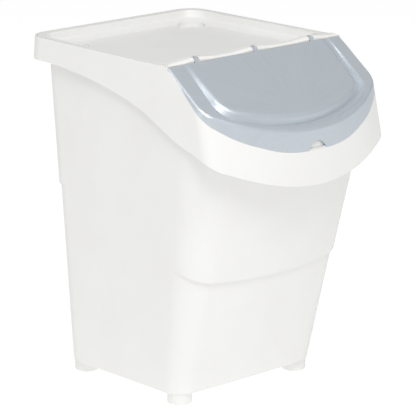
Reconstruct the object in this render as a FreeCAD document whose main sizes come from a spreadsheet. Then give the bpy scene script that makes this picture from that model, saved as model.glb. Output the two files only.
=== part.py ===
"""Pet food bin: a tapered tub with a sunk stacking cover and a hinged front flap.

Millimetres, +Z up, front towards -Y. The origin is the middle of the base on the floor.
"""
import FreeCAD, Part

import math
import os

from FreeCAD import Placement, Rotation, Vector

DOCUMENT = FreeCAD.newDocument("pet_food_bin")
SHEET = DOCUMENT.addObject("Spreadsheet::Sheet", "Sizes")

# alias: (value, what it is)
SIZES = {
    "spare": (1.0, "how far a bar or a cutting shape runs past the face it meets"),
    "wall": (2.6, "thickness of the tub's walls"),
    "floor_thickness": (3.0, "thickness of the tub's floor"),
    "foot_radius": (16.0, "round foot stub"),
    "foot_core_radius": (11.0, "hollow inside a foot, open below"),
    "foot_core_height": (13.0, "height of that hollow"),
    "foot_height": (16.0, "floor of the tub above the ground"),
    "foot_edge": (3.0, "rounding of a foot's lower edge"),
    "foot_margin": (1.0, "foot stub inside the rounded corner of the base"),
    "ledge_step": (4.0, "nesting ledge: how far the wall steps out above it"),
    "ledge_front_y": (-104.0, "a point of the ledge on the front wall"),
    "ledge_front_level": (177.0, "height of the ledge at that point"),
    "ledge_slope": (0.41, "rise of the ledge towards the back"),
    "ledge_back_level": (257.0, "height of the ledge on the back wall"),
    "rim_level": (450.0, "top of the rim"),
    "seat_level": (433.5, "seat inside the collar that carries the cover"),
    "seat_inset": (8.6, "inner edge of the seat, from the collar's outside"),
    "mouth_drop": (5.5, "mouth frame below the edge of the front lip"),
    "riser_level": (443.5, "top of the wall between the seat and the mouth"),
    "rim_front_y": (-82.0, "where the level rim meets the front lip"),
    "well_radius": (21.9, "well in the seat for a pocket of the cover"),
    "well_level": (428.6, "floor of that well"),
    "rib_inset": (4.2, "upstanding rib under the flap, from the collar's outside"),
    "rib_thickness": (2.4, "thickness of that rib"),
    "rib_drop": (13.0, "top of the rib below the flap's outer plane"),
    "rib_back_y": (-98.0, "rear ends of the rib"),
    "hinge_y": (-73.0, "hinge axis"),
    "hinge_z": (447.5, "hinge axis"),
    "ridge_level": (452.2, "top of the ridge along the hinge"),
    "ridge_half_length": (146.0, "half the length of that ridge"),
    "ridge_round": (3.1, "rounded front edge of the ridge"),
    "ridge_bulge": (0.3, "how far that rounding swells from its chord"),
    "ridge_flat_y": (-70.0, "where the ridge's flat top ends"),
    "ridge_foot_level": (449.2, "foot of the slope behind the ridge"),
    "boss_level": (455.5, "top of the ridge where it swells at a slot"),
    "boss_length": (36.0, "from the middle of a slot to where the ridge is low again"),
    "slot_pitch": (99.4, "between the three hinge slots"),
    "slot_width": (9.0, "width of a hinge slot"),
    "slot_floor_level": (439.0, "floor of a hinge slot"),
    "slot_front_y": (-83.5, "front end of a hinge slot"),
    "slot_back_y": (-64.5, "back end of a hinge slot"),
    "bar_radius": (2.5, "hinge bar across a slot"),
    "hook_radius": (7.0, "hook of the flap round that bar"),
    "hook_bore_radius": (2.56, "inside of the hook"),
    "hook_width": (7.4, "width of the hook"),
    "hook_mouth": (4.2, "mouth of the hook, which snaps over the bar"),
    "cover_inset": (3.1, "cover's edge, from the collar's outside"),
    "cover_thickness": (2.5, "thickness of the cover"),
    "cover_front_y": (-81.0, "front face of the cover"),
    "cover_rest": (0.3, "cover above its seat"),
    "cover_gap": (0.6, "between the cover's front face and the tub"),
    "tray_back_inset": (12.0, "rim of the tray at the back, from the collar's outside"),
    "tray_side_inset": (10.0, "rim of the tray at the sides, from the collar's outside"),
    "tray_front_y": (-62.0, "front edge of the tray"),
    "tray_radius": (24.0, "rounding of the tray's corners"),
    "tray_shoulder_level": (441.5, "where the tray's wall turns into its sloping border"),
    "tray_shoulder_inset": (3.5, "how far the wall leans in down to the shoulder"),
    "tray_level": (436.0, "floor of the tray"),
    "tray_inset": (19.0, "edge of the tray's floor, from the tray's rim"),
    "pocket_radius": (19.0, "pocket for a foot of the bin stacked above"),
    "pocket_level": (431.5, "floor of a pocket"),
    "stack_shift": (17.2, "how far back the bin above stands"),
    "flap_slope": (0.735, "fall of the flap towards the front"),
    "flap_origin_y": (-81.5, "where the flap's outer plane is level with the rim"),
    "flap_back_y": (-82.8, "rear edge of the flap"),
    "flap_thickness": (2.6, "thickness of the flap"),
    "flap_skirt": (3.0, "thickness of the flap's skirt"),
    "flap_gap": (0.3, "flap above the edge of the front lip"),
    "flap_edge": (4.5, "rounding of the flap's outer edge"),
    "flap_lap": (14.0, "how far the flap's skirt laps the front lip inside"),
    "arm_depth": (6.0, "depth of the arm between a hook and the flap"),
    "arm_front_y": (-92.0, "front end of that arm"),
    "panel_edge": (8.0, "rounding of the raised panel's edge"),
    "notch_radius": (16.0, "finger notch in the flap's skirt"),
    "notch_level": (338.1, "centre of the finger notch"),
    "notch_back_y": (-175.0, "rear end of the finger notch"),
    "notch_length": (40.0, "length of the cut that makes the notch"),
    "moat_tilt": (3.3, "degrees by which the moat round the panel deepens to the front"),
    "panel_tilt": (-1.1, "degrees by which the panel rises to the front"),
}

# Each section is a D seen from above: straight back, sides that spread towards the front, bowed front.
SECTION_FIELDS = ("level", "half_back", "half_front", "back", "apex",
                  "back_radius", "corner_radius", "bow")
SECTIONS = {
    "wall_foot": (16.0, 122.0, 122.0, 154.0, -72.0, 27.0, 27.0, 3000.0),
    "wall_top": (450.0, 140.0, 155.0, 171.0, -207.0, 30.0, 70.0, 250.0),
    "collar_foot": (290.0, 150.0, 152.0, 211.4, -200.5, 34.0, 24.0, 452.0),
    "collar_top": (450.0, 145.75, 151.3, 197.0, -182.4, 30.0, 20.0, 252.0),
    # The flap's sections lie in its own plane, measured from where that is level with the rim.
    "moat_rim": (0.4, 129.5, 129.5, 5.0, -130.5, 2.0, 42.0, 250.0),
    "moat_floor": (-0.2, 127.0, 127.0, 5.0, -126.5, 2.0, 40.0, 247.0),
    "panel_foot": (-0.2, 122.5, 122.5, 5.0, -120.5, 2.0, 38.0, 243.0),
    "panel_top": (0.25, 116.5, 116.5, 5.0, -112.0, 2.0, 34.0, 240.0),
}

# Side-view lines (y, z) from back to front.
LIP_EDGE = ((-82.0, 446.5), (-99.0, 435.6), (-120.0, 416.0), (-156.0, 382.8), (-172.0, 365.6),
            (-184.0, 353.2), (-190.0, 346.2), (-194.5, 342.4), (-206.0, 336.0))
COLLAR_EDGE = ((225.0, 418.5), (110.0, 417.5), (30.0, 405.5), (-45.0, 384.0), (-100.0, 358.5),
               (-160.0, 336.5), (-183.0, 318.0), (-206.0, 291.0))

SIDE_POINT_Y = -150.0   # where a section's half_front is measured
REACH = 200.0           # half the width of every cutting block
TOP = 520.0             # above everything
BOTTOM = 280.0          # below the collar
BACK = 225.0            # behind the collar
FRONT = -206.0          # before the lip
BEYOND = -230.0         # before the flap's plane at the foot of the collar
TOUCH = 0.01            # two places closer than this are the same
SLOTS = (-1, 0, 1)      # hinge slots, in slot pitches from the middle


def fill_sheet():
    """Write every driving dimension into the sheet, one row each."""
    rows = dict(SIZES)
    for name, values in SECTIONS.items():
        for field, value in zip(SECTION_FIELDS, values):
            rows[name + "_" + field] = (value, "section " + name.replace("_", " "))
    for row, (alias, (value, note)) in enumerate(rows.items(), start=1):
        SHEET.set("A%d" % row, alias)
        SHEET.set("B%d" % row, str(value))
        SHEET.set("C%d" % row, note)
        SHEET.setAlias("B%d" % row, alias)
    DOCUMENT.recompute()


def size(alias):
    return float(SHEET.get(alias))


# ---------------------------------------------------------------- document helpers

def feature(name, shape):
    """A document object that holds a shape made by Part's functions."""
    item = DOCUMENT.addObject("Part::Feature", name)
    item.Shape = shape
    return item


def primitive(kind, name, sizes, place=None):
    """A Part primitive whose properties are bound to cells of the sheet."""
    item = DOCUMENT.addObject("Part::" + kind, name)
    for prop, expression in sizes.items():
        item.setExpression(prop, expression)
    if place:
        item.Placement = place
    return item


def cut(name, base, tool):
    item = DOCUMENT.addObject("Part::Cut", name)
    item.Base = base
    item.Tool = tool
    return item


def common(name, first, *others):
    item = DOCUMENT.addObject("Part::MultiCommon", name)
    item.Shapes = [first, *others]
    return item


def fuse(name, *items):
    item = DOCUMENT.addObject("Part::MultiFuse", name)
    item.Shapes = list(items)
    return item


def rounded(name, base, radius, chosen):
    """The base with a fillet on each edge that chosen(edge) picks."""
    DOCUMENT.recompute()
    item = DOCUMENT.addObject("Part::Fillet", name)
    item.Base = base
    item.Edges = [(number, radius, radius)
                  for number, edge in enumerate(base.Shape.Edges, start=1) if chosen(edge)]
    return item


# ---------------------------------------------------------------- outlines

def mirrored(point):
    return Vector(-point.x, point.y, point.z)


def arc(start, middle, end):
    return Part.Arc(start, middle, end).toShape()


def outline(section, inset=0.0, stretch=0.0, drop=0.0):
    """One D-shaped section as a closed wire, moved in by inset, drawn out front and back by stretch."""
    value = {field: size(section + "_" + field) for field in SECTION_FIELDS}
    level = value["level"] - drop
    back = value["back"] + stretch
    bow = value["bow"] - inset
    back_radius = max(value["back_radius"] - inset, 0.5)
    corner_radius = max(value["corner_radius"] - inset, 0.5)
    corner = Vector(value["half_back"], back, level)
    along = (Vector(value["half_front"], SIDE_POINT_Y, level) - corner).normalize()
    outward = Vector(-along.y, along.x, 0)
    side = corner - outward * inset

    bow_centre = Vector(0, value["apex"] - stretch + value["bow"], level)
    back_line = side - outward * back_radius
    back_centre = back_line + along * ((back - inset - back_radius - back_line.y) / along.y)
    front_line = side - outward * corner_radius - bow_centre
    reach = bow - corner_radius
    half = front_line.dot(along)
    run = math.sqrt(half ** 2 - front_line.dot(front_line) + reach ** 2) - half
    front_centre = bow_centre + front_line + along * run
    radial = (front_centre - bow_centre).normalize()

    back_start = back_centre + Vector(0, back_radius, 0)
    back_middle = back_centre + (outward + Vector(0, 1, 0)).normalize() * back_radius
    side_start = back_centre + outward * back_radius
    side_end = front_centre + outward * corner_radius
    front_middle = front_centre + (outward + radial).normalize() * corner_radius
    front_end = front_centre + radial * corner_radius
    apex = bow_centre - Vector(0, bow, 0)
    return Part.Wire([
        Part.makeLine(mirrored(back_start), back_start),
        arc(back_start, back_middle, side_start),
        Part.makeLine(side_start, side_end),
        arc(side_end, front_middle, front_end),
        arc(front_end, apex, mirrored(front_end)),
        arc(mirrored(front_end), mirrored(front_middle), mirrored(side_end)),
        Part.makeLine(mirrored(side_end), mirrored(side_start)),
        arc(mirrored(side_start), mirrored(back_middle), mirrored(back_start)),
    ])


def rounded_wire(corners, radius):
    """A closed convex wire through the corners, each rounded to the radius."""
    edges = []
    count = len(corners)
    ends = []
    for index, corner in enumerate(corners):
        before = (corners[index - 1] - corner).normalize()
        after = (corners[(index + 1) % count] - corner).normalize()
        half_angle = before.getAngle(after) / 2
        setback = radius / math.tan(half_angle)
        to_centre = (before + after).normalize()
        middle = corner + to_centre * (radius / math.sin(half_angle) - radius)
        ends.append((corner + before * setback, middle, corner + after * setback))
    for index, (start, middle, end) in enumerate(ends):
        edges.append(arc(start, middle, end))
        edges.append(Part.makeLine(end, ends[(index + 1) % count][0]))
    return Part.Wire(edges)


def block(lower, upper, inset=0.0, stretch=0.0):
    """Solid between two D-shaped sections."""
    return Part.makeLoft([outline(lower, inset, stretch), outline(upper, inset, stretch)], True, True)


def across(edges):
    """Solid made by drawing a closed side-view outline right across the width."""
    face = Part.Face(Part.Wire(edges))
    return face.extrude(Vector(2 * REACH, 0, 0))


def side_point(y, z):
    return Vector(-REACH, y, z)


def polygon_across(points):
    corners = [side_point(y, z) for y, z in points]
    return across(Part.makePolygon(corners + corners[:1]).Edges)


def bounded_by(line, level, shift=0.0):
    """Solid between a smooth side-view line, moved by shift, and a level above or below it."""
    points = [side_point(y, z + shift) for y, z in line]
    curve = Part.BSplineCurve()
    curve.interpolate(points)
    far_start = Vector(points[0].x, points[0].y, level)
    far_end = Vector(points[-1].x, points[-1].y, level)
    return across([
        curve.toShape(),
        Part.makeLine(points[-1], far_end),
        Part.makeLine(far_end, far_start),
        Part.makeLine(far_start, points[0]),
    ])


def slab(name, front, back, low, high):
    """Block across the whole width, from front to back and from low to high."""
    corner = Vector(-REACH, front, low)
    return feature(name, Part.makeBox(2 * REACH, back - front, high - low, corner))


def flap_plane(y, drop=0.0):
    """Height of the flap's outer plane, or of one below it."""
    return size("rim_level") + size("flap_slope") * (y - size("flap_origin_y")) - drop


# ---------------------------------------------------------------- tub

def ledge_profile(lift, level):
    """Solid between the nesting ledge, which rises from front to back, and a level above or below it."""
    slope = size("ledge_slope")
    front_level = size("ledge_front_level") + slope * (FRONT - size("ledge_front_y")) + lift
    back_level = size("ledge_back_level") + lift
    bend_y = FRONT + (back_level - front_level) / slope
    return polygon_across([(FRONT, front_level), (bend_y, back_level), (BACK, back_level),
                           (BACK, level), (FRONT, level)])


LEDGE_LIFT = 0.8      # rise of the ledge's inner face, in wall thicknesses
COLLAR_OVERLAP = 5.0  # how far the free body reaches up into the collar
FRAME_DEPTH = 1.4     # depth of the frame under the lip, in wall thicknesses


def stepped_body(name, inset, floor_level):
    """The tapering body with its nesting ledge, kept inside the collar."""
    lift = LEDGE_LIFT * inset
    narrow = feature(name + "_narrow", block("wall_foot", "wall_top", inset))
    wide = feature(name + "_wide", block("wall_foot", "wall_top", inset, size("ledge_step")))
    lower = common(name + "_lower", narrow, feature(name + "_below", ledge_profile(lift, 0.0)))
    upper = common(name + "_upper", wide, feature(name + "_above", ledge_profile(lift, TOP)))
    both = fuse(name + "_both", lower, upper)
    collar = feature(name + "_limit", block("collar_foot", "collar_top", inset))
    lower_limit = slab(name + "_base", FRONT, BACK, floor_level,
                       size("collar_foot_level") + COLLAR_OVERLAP)
    limit = fuse(name + "_room", collar, lower_limit)
    return common(name, both, limit)


def build_tub():
    wall = size("wall")
    rim = size("rim_level")
    rim_front = size("rim_front_y")
    seat = size("seat_level")
    drop = size("mouth_drop")
    riser_top = size("riser_level")
    riser_y = size("cover_front_y") - size("cover_gap")

    outside = stepped_body("body_outside", 0.0, size("foot_height"))
    inside = stepped_body("body_inside", wall, size("foot_height") + size("floor_thickness"))

    collar_outside = feature("collar_outside", block("collar_foot", "collar_top"))
    collar_inside = feature("collar_inside", block("collar_foot", "collar_top", wall))
    frame_inside = feature("frame_inside", block("collar_foot", "collar_top", size("seat_inset")))

    below_lip = feature("below_lip", bounded_by(LIP_EDGE, BOTTOM))
    under_rim = fuse("under_rim", below_lip, slab("behind_lip", rim_front, BACK, BOTTOM, rim))
    above_collar_edge = feature("above_collar_edge", bounded_by(COLLAR_EDGE, TOP))
    ring = cut("collar_ring", collar_outside, collar_inside)
    collar = common("collar", ring, under_rim, above_collar_edge)

    # The frame that carries the cover behind and follows the lip in front.
    opening = common("opening", inside, frame_inside)
    frame_room = cut("frame_room", collar_inside, opening)
    seat_slab = slab("seat_slab", riser_y, BACK, seat - wall, seat)
    riser = slab("riser_slab", riser_y - wall, riser_y, seat - wall, riser_top)
    lip_slab = feature("lip_slab", bounded_by(LIP_EDGE, BOTTOM, -drop).cut(
        bounded_by(LIP_EDGE, BOTTOM, -drop - FRAME_DEPTH * wall)))
    lip_band = common("lip_band", lip_slab, slab("before_riser", FRONT, riser_y, BOTTOM, riser_top))
    frame = common("frame", frame_room, fuse("frame_slabs", seat_slab, riser, lip_band))
    below_seat = slab("below_seat", riser_y - wall, BACK, 0.0, seat)
    wells = common("wells", frame_room, below_seat, fuse("well_posts", *pocket_cylinders(
        "well_post", "Sizes.well_radius + Sizes.wall", "well_level", -wall)))

    # The walls end at the frame.
    shell = cut("shell", outside, inside)
    below_mouth = common("below_mouth", feature("under_mouth", bounded_by(LIP_EDGE, 0.0, -drop)),
                         slab("before_seat", FRONT, riser_y, 0.0, riser_top))
    walls = common("walls", shell, fuse("below_frame", below_seat, below_mouth))

    # Rib that stands up inside the flap's skirt.
    rib_inset = size("rib_inset")
    rib_back = size("rib_back_y")
    rib_ring = cut("rib_ring",
                   feature("rib_outside", block("collar_foot", "collar_top", rib_inset)),
                   feature("rib_inside", block("collar_foot", "collar_top",
                                               rib_inset + size("rib_thickness"))))
    rib_top = feature("rib_top", polygon_across([
        (rib_back, flap_plane(rib_back, size("rib_drop"))),
        (FRONT, flap_plane(FRONT, size("rib_drop"))),
        (FRONT, BOTTOM), (rib_back, BOTTOM)]))
    above_frame = feature("above_frame", bounded_by(LIP_EDGE, TOP, -drop - FRAME_DEPTH * wall / 2))
    rib = common("rib", rib_ring, rib_top, above_frame)

    feet = [build_foot(index, x, y) for index, (x, y) in enumerate(foot_places(), start=1)]
    solid = fuse("tub_solid", walls, collar, frame, wells, rib, *[foot for foot, core in feet])
    recesses = pocket_cylinders("well", "Sizes.well_radius", "well_level", 0.0)
    return cut("tub", solid, fuse("tub_hollows", *recesses, *[core for foot, core in feet]))


def foot_places():
    """Centres of the four feet, tucked into the rounded corners of the base."""
    radius = size("wall_foot_back_radius")
    tuck = (radius - size("foot_radius") - size("foot_margin")) / math.sqrt(2)
    x = size("wall_foot_half_back") - radius + tuck
    sag = x ** 2 / (2 * size("wall_foot_bow"))
    front = size("wall_foot_apex") + sag + radius - tuck
    back = size("wall_foot_back") - radius + tuck
    return [(-x, front), (x, front), (-x, back), (x, back)]


def pocket_cylinders(name, radius, floor, lift):
    """Four upright cylinders where the feet of the bin above stand, up to the tray's shoulder."""
    cylinders = []
    for index, (x, y) in enumerate(foot_places(), start=1):
        place = Placement(Vector(x, y + size("stack_shift"), size(floor) + lift), Rotation())
        cylinders.append(primitive(
            "Cylinder", "%s_%d" % (name, index),
            {"Radius": radius, "Height": "Sizes.tray_shoulder_level - Sizes." + floor}, place))
    return cylinders


def build_foot(index, x, y):
    place = Placement(Vector(x, y, 0), Rotation())
    stub = primitive("Cylinder", "foot_stub_%d" % index,
                     {"Radius": "Sizes.foot_radius",
                      "Height": "Sizes.foot_height + Sizes.floor_thickness / 2"}, place)
    core = primitive("Cylinder", "foot_core_%d" % index,
                     {"Radius": "Sizes.foot_core_radius", "Height": "Sizes.foot_core_height"}, place)
    foot = rounded("foot_%d" % index, stub, size("foot_edge"),
                   lambda edge: edge.BoundBox.ZMax < TOUCH)
    return foot, core


# ---------------------------------------------------------------- top cover

TRAY_FLARE = 0.4  # how far the tray has widened where its cutting shape ends above the rim


def tray_wire(level, inset, grow=0.0):
    """Outline of the tray at one level, parallel to the sides of the collar."""
    side = size("tray_side_inset") + inset - grow
    back = size("collar_top_back") - size("tray_back_inset") - inset + grow
    front = size("tray_front_y") + inset - grow
    spread = size("collar_top_half_front") - size("collar_top_half_back")
    run = size("collar_top_back") - SIDE_POINT_Y

    def half_width(y):
        return size("collar_top_half_back") + spread * (size("collar_top_back") - y) / run - side

    corners = [Vector(half_width(back), back, level), Vector(half_width(front), front, level),
               Vector(-half_width(front), front, level), Vector(-half_width(back), back, level)]
    return rounded_wire(corners, size("tray_radius") - inset / 2 + grow)


def tray_block(grow=0.0):
    """The sunk tray: a steep wall, a sloping border and a flat floor."""
    wires = [
        tray_wire(size("rim_level") + size("spare"), -TRAY_FLARE, grow),
        tray_wire(size("tray_shoulder_level") - grow, size("tray_shoulder_inset"), grow),
        tray_wire(size("tray_level") - grow, size("tray_inset"), grow),
    ]
    return Part.makeLoft(wires, True, True)


def ridge_wire(x, top):
    """Side-view outline of the hinge ridge at one place along it."""
    front = size("cover_front_y")
    back = size("tray_front_y")
    bottom = size("seat_level") + size("cover_rest")
    radius = size("ridge_round")
    shift = radius / 2 + size("ridge_bulge") / math.sqrt(2)
    low_front = Vector(x, front, bottom)
    face_top = Vector(x, front, top - radius)
    round_middle = Vector(x, front + radius - shift, top - radius + shift)
    flat_front = Vector(x, front + radius, top)
    flat_back = Vector(x, size("ridge_flat_y"), top)
    slope_foot = Vector(x, back, size("ridge_foot_level"))
    low_back = Vector(x, back, bottom)
    return Part.Wire([
        Part.makeLine(low_front, face_top),
        arc(face_top, round_middle, flat_front),
        Part.makeLine(flat_front, flat_back),
        Part.makeLine(flat_back, slope_foot),
        Part.makeLine(slope_foot, low_back),
        Part.makeLine(low_back, low_front),
    ])


def ridge_block():
    """Low ridge along the hinge that swells up at each slot."""
    low = size("ridge_level")
    end = size("ridge_half_length")
    length = size("boss_length")
    wires = [ridge_wire(-end, low)]
    for index in SLOTS:
        x = index * size("slot_pitch")
        wires.append(ridge_wire(x - length, low))
        wires.append(ridge_wire(x, size("boss_level")))
        wires.append(ridge_wire(x + length, low))
    wires.append(ridge_wire(end, low))
    return Part.makeLoft(wires, True, True)


def build_cover():
    rim = size("rim_level")
    thickness = size("cover_thickness")
    inset = size("cover_inset")
    front = size("cover_front_y")
    bottom = size("seat_level") + size("cover_rest")
    tray_front = size("tray_front_y")

    room = slab("cover_room", front, BACK, bottom, rim)
    edge_room = common("cover_edge_room", room,
                       feature("cover_outside", block("collar_foot", "collar_top", inset)))
    inner = feature("cover_inner", block("collar_foot", "collar_top", inset + thickness))
    edge = cut("cover_edge", edge_room, inner)
    flange = common("cover_flange", edge_room, slab("flange_slab", front, BACK, rim - thickness, rim))
    tray_outside = common("tray_outside", feature("tray_outer", tray_block(thickness)),
                          slab("tray_limit", front, BACK, 0.0, rim))
    ridge_core = slab("ridge_core", front + thickness, tray_front - thickness,
                      size("seat_level"), rim - 2 * thickness)
    ridge = cut("ridge", feature("ridge_solid", ridge_block()), ridge_core)

    hinge = Vector(0, size("hinge_y"), size("hinge_z"))
    lying = Rotation(Vector(0, 1, 0), 90)
    cheek_half = size("slot_width") / 2 + 2 * thickness
    cheeks = []
    slots = []
    bars = []
    for index in SLOTS:
        x = index * size("slot_pitch")
        tag = str(index + 2)
        cheeks.append(feature("cheek_" + tag, Part.makeBox(
            2 * cheek_half, tray_front - front, hinge.z - bottom, Vector(x - cheek_half, front, bottom))))
        slots.append(primitive(
            "Box", "slot_" + tag,
            {"Length": "Sizes.slot_width", "Width": "Sizes.slot_back_y - Sizes.slot_front_y",
             "Height": "Sizes.boss_level - Sizes.slot_floor_level + Sizes.spare"},
            Placement(Vector(x - size("slot_width") / 2, size("slot_front_y"),
                             size("slot_floor_level")), Rotation())))
        bars.append(primitive(
            "Cylinder", "bar_" + tag,
            {"Radius": "Sizes.bar_radius", "Height": "Sizes.slot_width + 2 * Sizes.spare"},
            Placement(Vector(x - size("slot_width") / 2 - size("spare"), hinge.y, hinge.z), lying)))

    pockets = pocket_cylinders("pocket", "Sizes.pocket_radius", "pocket_level", 0.0)
    cups = pocket_cylinders("cup", "Sizes.pocket_radius + Sizes.cover_thickness",
                            "pocket_level", -thickness)
    solid = fuse("cover_solid", edge, flange, tray_outside, ridge, *cheeks, *cups)
    hollow = fuse("cover_hollow", feature("tray_inner", tray_block()), *pockets, *slots)
    return fuse("top_cover", cut("cover_cut", solid, hollow), *bars)


# ---------------------------------------------------------------- flap

PANEL_ROOT = 0.2  # how far the raised panel is sunk into the moat's floor

def on_flap_plane(shape):
    """Place a shape drawn in the flap's own plane, whose origin is in the middle, level with the rim."""
    angle = math.degrees(math.atan(size("flap_slope")))
    origin = Vector(0, size("flap_origin_y"), size("rim_level"))
    shape.Placement = Placement(origin, Rotation(Vector(1, 0, 0), angle)).multiply(shape.Placement)
    return shape


def tilted(wire, tilt):
    """Turn a wire of the flap about its origin, so that its depth grows to the front."""
    wire.rotate(Vector(0, 0, 0), Vector(1, 0, 0), size(tilt))
    return wire


def moat_block(grow=0.0):
    top = outline("moat_rim", -grow)
    floor = tilted(outline("moat_floor", -grow, drop=grow), "moat_tilt")
    return on_flap_plane(Part.makeLoft([floor, top], True, True))


def panel_block(shrink=0.0):
    foot = tilted(outline("panel_foot", shrink, drop=shrink + PANEL_ROOT), "moat_tilt")
    top = tilted(outline("panel_top", shrink, drop=shrink), "panel_tilt")
    return on_flap_plane(Part.makeLoft([foot, top], True, True))


def under_flap_plane(drop, back):
    return polygon_across([(back, flap_plane(back, drop)), (BEYOND, flap_plane(BEYOND, drop)),
                           (BEYOND, BOTTOM), (back, BOTTOM)])


def hook_parts():
    """Three hooks with their arms, and the bores and snap mouths to cut in them."""
    hinge = Vector(0, size("hinge_y"), size("hinge_z"))
    lying = Rotation(Vector(0, 1, 0), 90)
    depth = size("arm_depth")
    spare = size("spare")
    arm_front = size("arm_front_y")
    arm_back = hinge.y - size("hook_radius") * math.sin(math.atan(size("flap_slope")))
    arm_limit = feature("arm_limit", polygon_across([
        (arm_back, flap_plane(arm_back)), (arm_front, flap_plane(arm_front)),
        (arm_front, flap_plane(arm_front, depth)), (arm_back, flap_plane(arm_back, depth))]))
    hooks = []
    bores = []
    for index in SLOTS:
        tag = str(index + 2)
        start = Vector(index * size("slot_pitch") - size("hook_width") / 2, hinge.y, hinge.z)
        hooks.append(primitive("Cylinder", "hook_" + tag,
                               {"Radius": "Sizes.hook_radius", "Height": "Sizes.hook_width"},
                               Placement(start, lying)))
        arm = primitive("Box", "arm_box_" + tag,
                        {"Length": "Sizes.hook_width", "Width": "Sizes.hinge_y - Sizes.arm_front_y",
                         "Height": "Sizes.boss_level - Sizes.collar_foot_level"},
                        Placement(Vector(start.x, arm_front, size("collar_foot_level")), Rotation()))
        hooks.append(common("arm_" + tag, arm, arm_limit))
        bores.append(primitive("Cylinder", "bore_" + tag,
                               {"Radius": "Sizes.hook_bore_radius",
                                "Height": "Sizes.hook_width + 2 * Sizes.spare"},
                               Placement(start - Vector(spare, 0, 0), lying)))
        mouth_corner = start - Vector(spare, size("hook_mouth") / 2, size("hook_radius") + spare)
        bores.append(primitive("Box", "mouth_" + tag,
                               {"Length": "Sizes.hook_width + 2 * Sizes.spare",
                                "Width": "Sizes.hook_mouth",
                                "Height": "Sizes.hook_radius + Sizes.spare"},
                               Placement(mouth_corner, Rotation())))
    return hooks, bores


def build_flap():
    slant = math.cos(math.atan(size("flap_slope")))
    thickness = size("flap_thickness")
    skirt = size("flap_skirt")
    back = size("flap_back_y")
    open_back = size("cover_front_y")

    def at_rear(edge):
        return edge.BoundBox.YMin > back - TOUCH

    plate = common("flap_plate", feature("flap_room", block("collar_foot", "collar_top")),
                   feature("flap_under", under_flap_plane(0.0, back)))
    round_plate = rounded("flap_plate_round", plate, size("flap_edge"), lambda edge: all(
        abs(vertex.Z - flap_plane(vertex.Y)) < TOUCH
        for vertex in edge.Vertexes) and not at_rear(edge))
    moat = cut("flap_moat", round_plate, feature("moat", moat_block()))
    panel = common("flap_panel", feature("panel", panel_block()),
                   slab("panel_room", FRONT, back, BOTTOM, TOP))
    round_panel = rounded("flap_panel_round", panel, size("panel_edge"), lambda edge: all(
        vertex.Z > flap_plane(vertex.Y) + PANEL_ROOT / 4
        for vertex in edge.Vertexes) and not at_rear(edge))
    outer = fuse("flap_outer", moat, round_panel)

    inner_plate = common("flap_inner_plate",
                         feature("flap_inner_room", block("collar_foot", "collar_top", skirt)),
                         feature("flap_inner_under", under_flap_plane(thickness / slant, open_back)))
    inner_moat = cut("flap_inner_moat", inner_plate, feature("moat_below", moat_block(thickness)))
    inner = fuse("flap_inner", inner_moat, feature("panel_below", panel_block(thickness)))
    shell = cut("flap_shell", outer, inner)

    lip = cut("lip_zone", feature("lip_zone_outside", block("collar_foot", "collar_top", -skirt)),
              feature("lip_zone_inside", block("collar_foot", "collar_top", skirt)))
    below = feature("below_flap", bounded_by(LIP_EDGE, BOTTOM, size("flap_gap")))
    deep = feature("flap_bottom", bounded_by(LIP_EDGE, BOTTOM, -size("flap_lap")))
    trimmed = cut("flap_trimmed", shell, fuse("flap_waste", common("lip_waste", lip, below), deep))

    hooks, bores = hook_parts()
    notch = primitive("Cylinder", "finger_notch",
                      {"Radius": "Sizes.notch_radius", "Height": "Sizes.notch_length"},
                      Placement(Vector(0, size("notch_back_y"), size("notch_level")),
                                Rotation(Vector(1, 0, 0), 90)))
    solid = fuse("flap_solid", trimmed, *hooks)
    return cut("flap", solid, fuse("flap_holes", notch, *bores))


# ---------------------------------------------------------------- build and write

def check(parts):
    """Stop if anything in the document failed or a sub-part is not one valid solid."""
    for item in DOCUMENT.Objects:
        if "Invalid" in item.State or "Error" in item.State:
            raise RuntimeError("failed: " + item.Name)
    for item in parts:
        shape = item.Shape
        if shape.isNull() or not shape.isValid():
            raise RuntimeError("bad shape: " + item.Label)
        print(item.Label, "solids", len(shape.Solids), "volume", round(shape.Volume))


def main():
    fill_sheet()
    parts = [build_tub(), build_cover(), build_flap()]
    DOCUMENT.recompute()
    check(parts)
    os.makedirs("parts", exist_ok=True)
    for item in parts:
        item.Shape.exportStep(os.path.join("parts", item.Label + ".step"))


main()
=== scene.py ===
"""Looks of the pet food bin: satin white tub and cover, silvery blue-grey flap, in a white studio."""

import math

import bpy
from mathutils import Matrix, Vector


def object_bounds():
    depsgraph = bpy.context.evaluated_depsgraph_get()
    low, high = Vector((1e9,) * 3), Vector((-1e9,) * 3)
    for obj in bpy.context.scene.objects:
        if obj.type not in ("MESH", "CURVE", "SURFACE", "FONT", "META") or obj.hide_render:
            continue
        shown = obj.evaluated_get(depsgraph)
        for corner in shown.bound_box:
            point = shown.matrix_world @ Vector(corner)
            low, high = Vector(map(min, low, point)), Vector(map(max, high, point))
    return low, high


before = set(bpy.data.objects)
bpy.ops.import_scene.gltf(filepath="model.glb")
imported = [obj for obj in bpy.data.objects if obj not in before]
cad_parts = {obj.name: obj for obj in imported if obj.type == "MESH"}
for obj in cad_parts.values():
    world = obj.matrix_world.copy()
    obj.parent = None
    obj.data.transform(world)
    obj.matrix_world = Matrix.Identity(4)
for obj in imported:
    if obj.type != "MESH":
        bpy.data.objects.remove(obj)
cad_low, cad_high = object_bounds()

# Metres, degrees and watts, and millimetres for the lens and its sensor.
# Azimuth 0 is in front of the flap.

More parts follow.
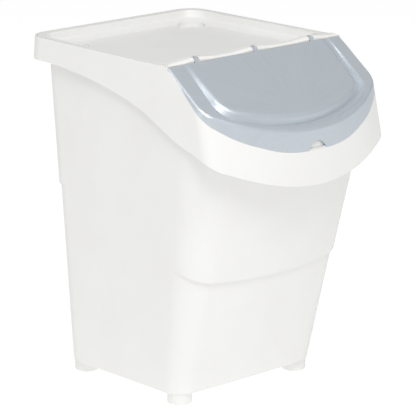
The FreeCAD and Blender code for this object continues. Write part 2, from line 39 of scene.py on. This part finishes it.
# Camera: a long lens from the front left, looking down on the bin.
VIEW_AZIMUTH = -42.61
VIEW_ELEVATION = 14.92
VIEW_DISTANCE = 3.39665
VIEW_LENS = 224.09
VIEW_SENSOR = 36.0
VIEW_OFFSET = Vector((0.01651, 0.02465, -0.00579))  # from the middle of the object's box
VIEW_REACH = 50.0    # nothing further away is drawn

FLOOR_SIZE = 14.0
FLOOR_GREY = 0.46
FLOOR_ROUGHNESS = 0.9
FLOOR_GLOW = 0.73

SKY_BRIGHT = 0.64    # the cove at the front left
SKY_DIM = 0.26       # the cove behind on the right
SKY_TURN = (-0.66, -0.72, 0.22)  # from the dim side to the bright one
SKY_SPREAD = 0.9     # how far to either side the cove goes on changing

# name: (azimuth, elevation, distance, width, height, power)
SOFTBOXES = {
    "key_front_left": (-30.0, 50.0, 2.6, 1.1, 1.1, 27.0),
    "low_left": (-84.0, 4.0, 2.8, 0.3, 1.0, 1.5),
    "overhead": (-110.0, 70.0, 2.4, 0.6, 1.0, 8.0),
}

# The plastics. A scale is about how many patches of noise fit in a metre, and a depth is in metres.
WHITE = (0.840, 0.838, 0.822)
WHITE_WARM = (0.820, 0.814, 0.794)
WHITE_MOTTLE_EDGES = (0.35, 0.75)  # noise values at which the warmer white starts and is full
WHITE_ROUGHNESS = (0.40, 0.56)
WHITE_MOTTLE_SCALE = 14.0
WHITE_FLOW_SCALE = (30.0, 30.0, 5.0)  # drawn out upwards
WHITE_PEEL = {"scale": 160.0, "strength": 0.10, "depth": 0.0004}
WHITE_GRAIN = {"scale": 900.0, "strength": 0.18, "depth": 0.0001}
WHITE_IOR = 1.49
WHITE_SPECULAR = 0.45

SILVER = (0.60, 0.65, 0.695)
SILVER_DEEP = (0.54, 0.595, 0.645)
SILVER_STREAK_EDGES = (0.3, 0.75)  # noise values at which the deeper tint starts and is full
SILVER_STREAK_MOST = 0.6         # largest share of the deeper tint
SILVER_STREAK_SCALE = 16.0
SILVER_ROUGHNESS = (0.30, 0.38)
SILVER_MOTTLE_SCALE = 22.0
SILVER_PEEL = {"scale": 90.0, "strength": 0.03, "depth": 0.0004}
SILVER_GRAIN = {"scale": 1100.0, "strength": 0.06, "depth": 0.0001}
SILVER_METALLIC = 0.45
SILVER_IOR = 1.5
FLOW_GATE = (-0.01, -0.165, 0.385)  # where the plastic entered the mould

# Sockets of the colour mixing node, which has several with the same name.
MIX_FIRST = 6
MIX_SECOND = 7
MIX_RESULT = 2


# ---------------------------------------------------------------- node trees

def opaque(colour):
    return (*colour, 1.0)


class Tree:
    """Short calls to add and join shader nodes."""

    def __init__(self, tree):
        self.tree = tree

    def put(self, socket, value):
        """Give an input another node's output, or a plain value."""
        if isinstance(value, bpy.types.NodeSocket):
            self.tree.links.new(value, socket)
        else:
            socket.default_value = value

    def feed(self, node, **inputs):
        """Fill a node's inputs by name, with _ for each space."""
        for name, value in inputs.items():
            self.put(node.inputs[name.replace("_", " ")], value)
        return node

    def add(self, kind, **inputs):
        return self.feed(self.tree.nodes.new(kind), **inputs)

    def noise(self, where, scale, detail=2.0, roughness=0.5):
        node = self.add("ShaderNodeTexNoise", Vector=where, Scale=scale, Detail=detail,
                        Roughness=roughness)
        return node.outputs["Fac"]

    def stretch(self, where, scale):
        return self.add("ShaderNodeMapping", Vector=where, Scale=scale).outputs["Vector"]

    def towards(self, where, gate):
        """Unit direction from a gate to the point that is shaded."""
        moved = self.add("ShaderNodeMapping", Vector=where, Location=[-value for value in gate])
        unit = self.add("ShaderNodeVectorMath")
        unit.operation = "NORMALIZE"
        self.put(unit.inputs[0], moved.outputs["Vector"])
        return unit.outputs["Vector"]

    def along(self, where, heading):
        """How far a direction agrees with a heading, from -1 to 1."""
        node = self.add("ShaderNodeVectorMath")
        node.operation = "DOT_PRODUCT"
        self.put(node.inputs[0], where)
        self.put(node.inputs[1], heading)
        return node.outputs["Value"]

    def span(self, value, low, high, start=0.0, end=1.0):
        """Map a value from start..end to low..high."""
        node = self.add("ShaderNodeMapRange", Value=value, From_Min=start, From_Max=end,
                        To_Min=low, To_Max=high)
        return node.outputs["Result"]

    def mix(self, factor, first, second):
        """Blend two colours."""
        node = self.add("ShaderNodeMix")
        node.data_type = "RGBA"
        self.put(node.inputs[0], factor)
        self.put(node.inputs[MIX_FIRST], opaque(first))
        self.put(node.inputs[MIX_SECOND], opaque(second))
        return node.outputs[MIX_RESULT]

    def bump(self, where, texture, under=None):
        """Relief from fine noise, on top of another relief if one is given."""
        height = self.noise(where, texture["scale"])
        node = self.add("ShaderNodeBump", Height=height, Strength=texture["strength"],
                        Distance=texture["depth"])
        if under:
            self.feed(node, Normal=under)
        return node.outputs["Normal"]


# ---------------------------------------------------------------- studio

def direction(azimuth, elevation):
    """Unit vector from the object towards a place round it."""
    turn = math.radians(azimuth)
    rise = math.radians(elevation)
    level = math.cos(rise)
    return Vector((math.sin(turn) * level, -math.cos(turn) * level, math.sin(rise)))


def aim(item, place, target):
    item.location = place
    item.rotation_mode = "QUATERNION"
    item.rotation_quaternion = (target - place).to_track_quat("-Z", "Y")


def link(item):
    bpy.context.scene.collection.objects.link(item)
    return item


def make_camera(middle):
    data = bpy.data.cameras.new("camera")
    data.sensor_width = VIEW_SENSOR
    data.lens = VIEW_LENS
    data.clip_end = VIEW_REACH
    camera = link(bpy.data.objects.new("camera", data))
    target = middle + VIEW_OFFSET
    aim(camera, target + direction(VIEW_AZIMUTH, VIEW_ELEVATION) * VIEW_DISTANCE, target)
    bpy.context.scene.camera = camera


def make_softboxes(middle):
    for name, (azimuth, elevation, distance, width, height, power) in SOFTBOXES.items():
        data = bpy.data.lights.new(name, "AREA")
        data.shape = "RECTANGLE"
        data.size = width
        data.size_y = height
        data.energy = power
        lamp = link(bpy.data.objects.new(name, data))
        aim(lamp, middle + direction(azimuth, elevation) * distance, middle)


def make_sky():
    """A white cove, bright on one side."""
    world = bpy.data.worlds.new("studio")
    world.use_nodes = True
    bpy.context.scene.world = world
    tree = Tree(world.node_tree)
    where = tree.add("ShaderNodeTexCoord").outputs["Generated"]
    side = tree.span(tree.along(where, SKY_TURN), 0.0, 1.0, -SKY_SPREAD, SKY_SPREAD)
    blend = tree.mix(side, (SKY_DIM,) * 3, (SKY_BRIGHT,) * 3)
    tree.feed(world.node_tree.nodes["Background"], Color=blend)


def make_floor():
    bpy.ops.mesh.primitive_plane_add(size=FLOOR_SIZE)
    floor = bpy.context.object
    floor.name = "floor"
    material = bpy.data.materials.new("floor_white")
    material.use_nodes = True
    shader = material.node_tree.nodes["Principled BSDF"]
    Tree(material.node_tree).feed(shader, Base_Color=opaque((FLOOR_GREY,) * 3),
                                  Roughness=FLOOR_ROUGHNESS,
                                  Emission_Color=opaque((1.0,) * 3), Emission_Strength=FLOOR_GLOW)
    floor.data.materials.append(material)


# ---------------------------------------------------------------- materials

def new_material(name):
    material = bpy.data.materials.new(name)
    material.use_nodes = True
    tree = Tree(material.node_tree)
    where = tree.add("ShaderNodeTexCoord").outputs["Object"]
    return material, tree, material.node_tree.nodes["Principled BSDF"], where


def white_plastic():
    """Moulded polypropylene: satin, faintly mottled, with a fine texture and long flow lines."""
    material, tree, shader, where = new_material("white_plastic")
    mottle = tree.noise(where, WHITE_MOTTLE_SCALE, detail=4.0)
    flow = tree.noise(tree.stretch(where, WHITE_FLOW_SCALE), 1.0, detail=3.0)
    colour = tree.mix(tree.span(mottle, 0.0, 1.0, *WHITE_MOTTLE_EDGES), WHITE, WHITE_WARM)
    relief = tree.bump(where, WHITE_GRAIN, under=tree.bump(where, WHITE_PEEL))
    tree.feed(shader, Base_Color=colour, Roughness=tree.span(flow, *WHITE_ROUGHNESS), Normal=relief,
              IOR=WHITE_IOR, Specular_IOR_Level=WHITE_SPECULAR)
    return material


def silver_plastic():
    """Blue-grey polypropylene with a metallic pigment: flow streaks fan out from the gate."""
    material, tree, shader, where = new_material("silver_plastic")
    streak = tree.noise(tree.towards(where, FLOW_GATE), SILVER_STREAK_SCALE, detail=4.0, roughness=0.6)
    mottle = tree.noise(where, SILVER_MOTTLE_SCALE, detail=3.0)
    share = tree.span(streak, 0.0, SILVER_STREAK_MOST, *SILVER_STREAK_EDGES)
    relief = tree.bump(where, SILVER_GRAIN, under=tree.bump(where, SILVER_PEEL))
    tree.feed(shader, Base_Color=tree.mix(share, SILVER, SILVER_DEEP),
              Roughness=tree.span(mottle, *SILVER_ROUGHNESS), Normal=relief,
              Metallic=SILVER_METALLIC, IOR=SILVER_IOR)
    return material


def dress(node, material):
    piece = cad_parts[node]
    piece.data.materials.clear()
    piece.data.materials.append(material)


# ---------------------------------------------------------------- make

def main():
    middle = (cad_low + cad_high) / 2
    make_camera(middle)
    make_sky()
    make_softboxes(middle)
    make_floor()
    white = white_plastic()
    dress("tub", white)
    dress("top_cover", white)
    dress("flap", silver_plastic())
    bpy.context.scene.view_settings.view_transform = "Standard"


main()
